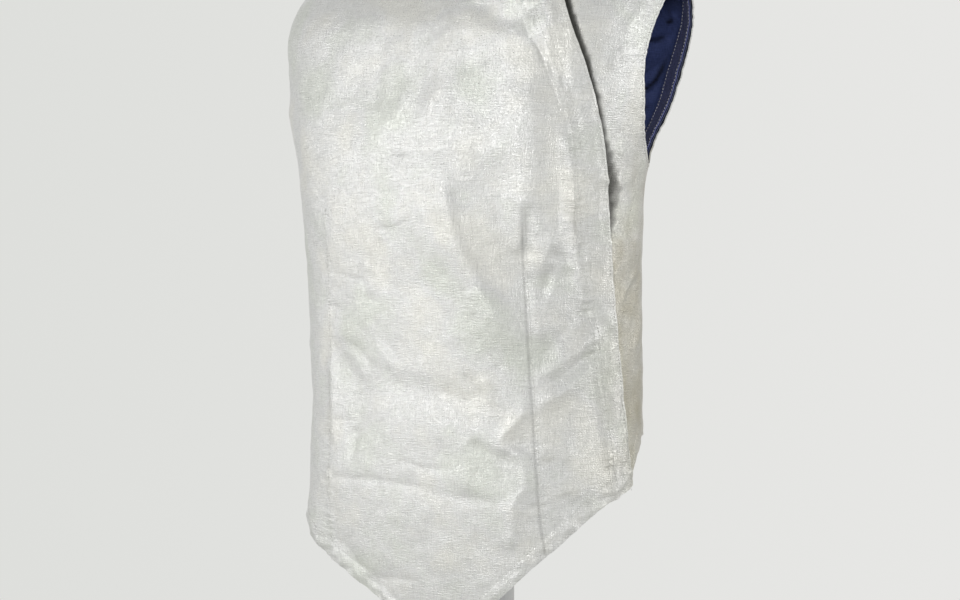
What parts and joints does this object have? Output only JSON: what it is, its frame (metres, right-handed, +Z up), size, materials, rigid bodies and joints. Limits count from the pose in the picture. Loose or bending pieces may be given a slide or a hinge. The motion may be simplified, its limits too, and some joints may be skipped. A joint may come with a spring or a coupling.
{
  "type": "fencing lame on a dress form stand",
  "caption": "Sleeveless silver metallic fencing lame with side-closing front flap, waist darts, pointed front hem and navy lining, on a limbless dress form with post and round base.",
  "frame": {"origin": "centre of the base's flat underside, on the axis of the post", "axes": "+Z up along the post, the garment's front faces -Y, the wearer's left side is +X"},
  "size_m": [0.4308, 0.3525, 1.1164],
  "materials": {
    "silver_lame": "fine plain weave with metal thread, soft silver sheen, puckered at the seams",
    "navy_lining": "smooth woven taffeta, slight sheen",
    "navy_tape": "matte woven tape with white topstitching",
    "hook_and_loop": "matte pile",
    "form_cover": "matte knit cover",
    "grey_paint": "satin powder coat"
  },
  "bodies": {
    "root": {"front_panel": "silver_lame", "left_underlap": "silver_lame", "back_panel": "silver_lame", "collar": "silver_lame", "front_lining": "navy_lining", "underlap_lining": "navy_lining", "back_lining": "navy_lining", "facing_left_front": "navy_tape", "facing_left_back": "navy_tape", "facing_right_front": "navy_tape", "facing_right_back": "navy_tape", "closure_strip": "hook_and_loop", "form_torso": "form_cover", "form_neck_cap": "grey_paint", "post": "grey_paint", "base_collet": "grey_paint", "base": "grey_paint"}
  },
  "joints": []
}
